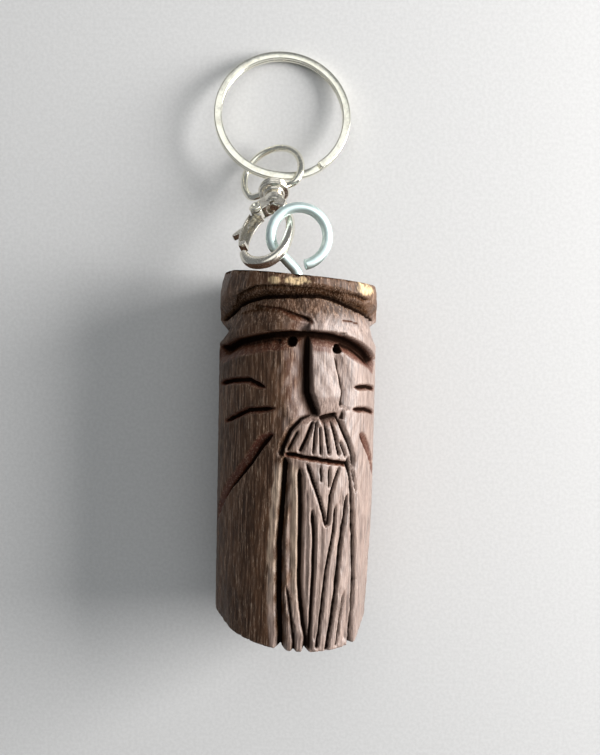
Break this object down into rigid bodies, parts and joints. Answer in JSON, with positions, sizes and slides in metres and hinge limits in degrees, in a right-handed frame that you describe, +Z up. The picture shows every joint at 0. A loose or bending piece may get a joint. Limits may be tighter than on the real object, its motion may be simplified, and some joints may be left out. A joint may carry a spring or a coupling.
{
  "type": "carved keychain",
  "caption": "Keychain: a whittled bearded wooden face with a screw eye, swivel lobster clasp and split ring.",
  "frame": {"origin": "centre of the bounding box's bottom face: the keychain lies on its flat back", "axes": "+Z up from the surface it lies on, +Y along the carving from its foot to the split ring, +X the viewer's right when looking down on the face"},
  "size_m": [0.0346, 0.1206, 0.0314],
  "materials": {
    "stained_wood": "satin",
    "zinc_steel": "satin",
    "nickel_cast": "polished",
    "nickel_wire": "polished",
    "spring_steel": "satin"
  },
  "bodies": {
    "figure": {"carved_figure": "stained_wood", "screw_eye": "zinc_steel"},
    "claw": {"claw_body": "nickel_cast", "gate_rivet": "nickel_wire"},
    "gate": {"gate_lever": "nickel_cast", "gate_spring": "spring_steel"},
    "swivel": {"swivel_head": "nickel_cast"},
    "bail": {"swivel_bail": "nickel_wire"},
    "ring": {"split_ring": "nickel_wire"}
  },
  "joints": [
    {"name": "claw_on_eye", "type": "hinge", "parent": "figure", "child": "claw", "pos_m": [-0.00422, 0.01887, 0.01848], "axis": [-1, 0, 0], "range_deg": [0, 45]},
    {"name": "gate_pivot", "type": "hinge", "parent": "claw", "child": "gate", "pos_m": [-0.00734, 0.02534, 0.01171], "axis": [-0.3161, 0.6032, 0.7323], "range_deg": [0, 22], "stiffness_Nm_per_rad": 0.002, "springref_deg": -17.19},
    {"name": "swivel_spin", "type": "hinge", "parent": "claw", "child": "swivel", "pos_m": [-0.00406, 0.02756, 0.0113], "axis": [-0.048, 0.7607, -0.6473], "continuous": true},
    {"name": "bail_hinge", "type": "hinge", "parent": "swivel", "child": "bail", "pos_m": [-0.00422, 0.03008, 0.00916], "axis": [0.9019, 0.3115, 0.2992], "range_deg": [-30, 5]},
    {"name": "ring_on_bail", "type": "hinge", "parent": "bail", "child": "ring", "pos_m": [0.00133, 0.03359, 0.0078], "axis": [0.9481, 0.2792, -0.1521], "range_deg": [-20, 16]}
  ]
}
